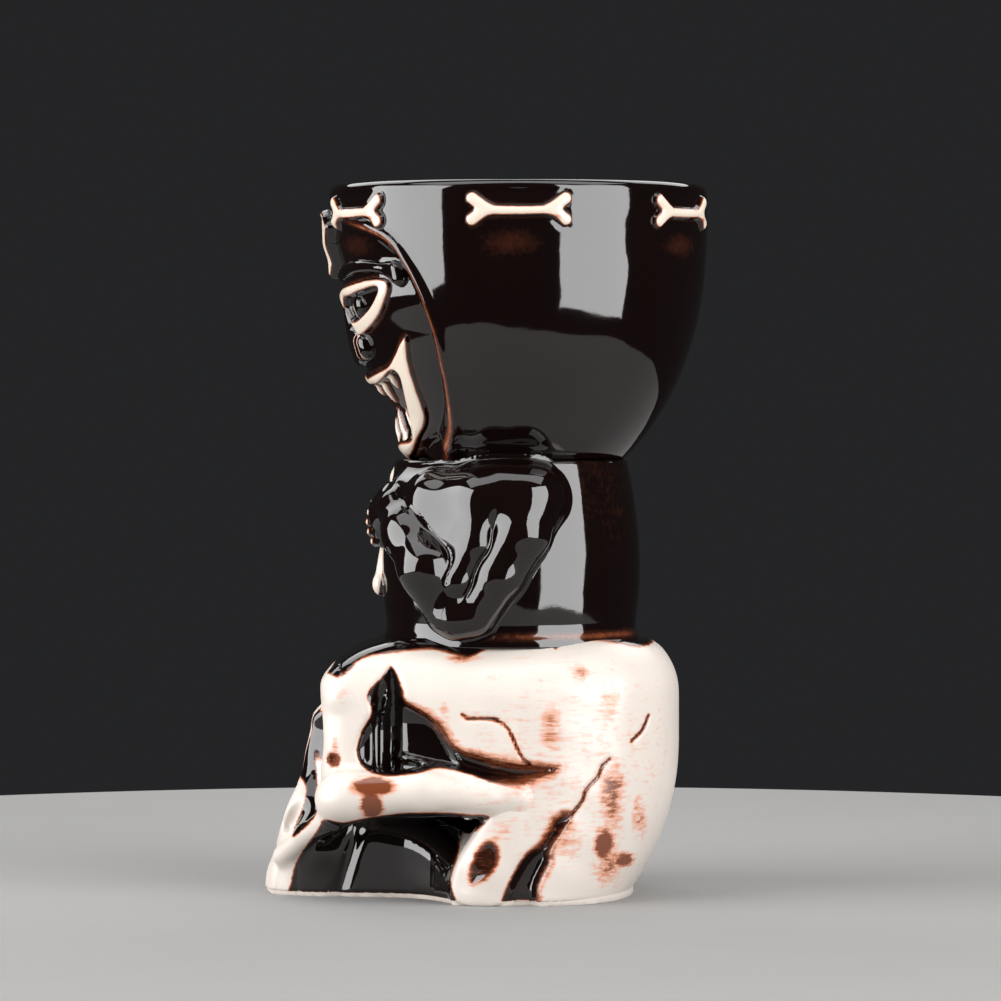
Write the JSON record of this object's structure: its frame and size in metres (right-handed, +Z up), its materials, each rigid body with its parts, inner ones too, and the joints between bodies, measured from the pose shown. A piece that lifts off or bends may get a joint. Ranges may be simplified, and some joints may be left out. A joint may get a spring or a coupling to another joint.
{
  "type": "tiki mug",
  "caption": "Tall hollow ceramic cup: a bowl-shaped head with a carved face and a ring of bones, on a torso with folded arms, standing on a skull.",
  "frame": {"origin": "on the table, under the middle of the mug's footprint box", "axes": "+Z up towards the rim; the figure faces -Y and its left side is +X"},
  "size_m": [0.0988, 0.113, 0.18],
  "materials": {
    "dark_glaze": "high gloss near-black brown glaze, warm brown where it runs thin",
    "cream_relief": "glossy cream with orange-brown feathered edges where the dark glaze was wiped back",
    "skull_ivory": "satin ivory with dry-brushed pink-red streaks, brown brush marks and dark glossy glaze pooled in the hollows"
  },
  "bodies": {
    "root": {"head_bowl": "dark_glaze", "face_border": "dark_glaze", "forehead_plaque": "cream_relief", "brow_left": "dark_glaze", "brow_right": "dark_glaze", "eye_ring_left": "cream_relief", "eye_ring_right": "cream_relief", "eyeball_left": "dark_glaze", "eyeball_right": "dark_glaze", "nose": "dark_glaze", "lips": "cream_relief", "upper_fangs": "cream_relief", "lower_teeth": "cream_relief", "rim_bone_1": "cream_relief", "rim_bone_2": "cream_relief", "rim_bone_3": "cream_relief", "rim_bone_4": "cream_relief", "rim_bone_5": "cream_relief", "rim_bone_6": "cream_relief", "torso": "dark_glaze", "upper_arm_left": "dark_glaze", "upper_arm_right": "dark_glaze", "forearm_left": "dark_glaze", "forearm_right": "dark_glaze", "hand_left": "dark_glaze", "hand_right": "dark_glaze", "held_bone": "cream_relief", "skull_cranium": "skull_ivory", "skull_face": "skull_ivory", "cheekbone_left": "skull_ivory", "cheekbone_right": "skull_ivory", "mastoid_left": "skull_ivory", "mastoid_right": "skull_ivory", "upper_jaw": "skull_ivory", "skull_floor": "skull_ivory"}
  },
  "joints": []
}
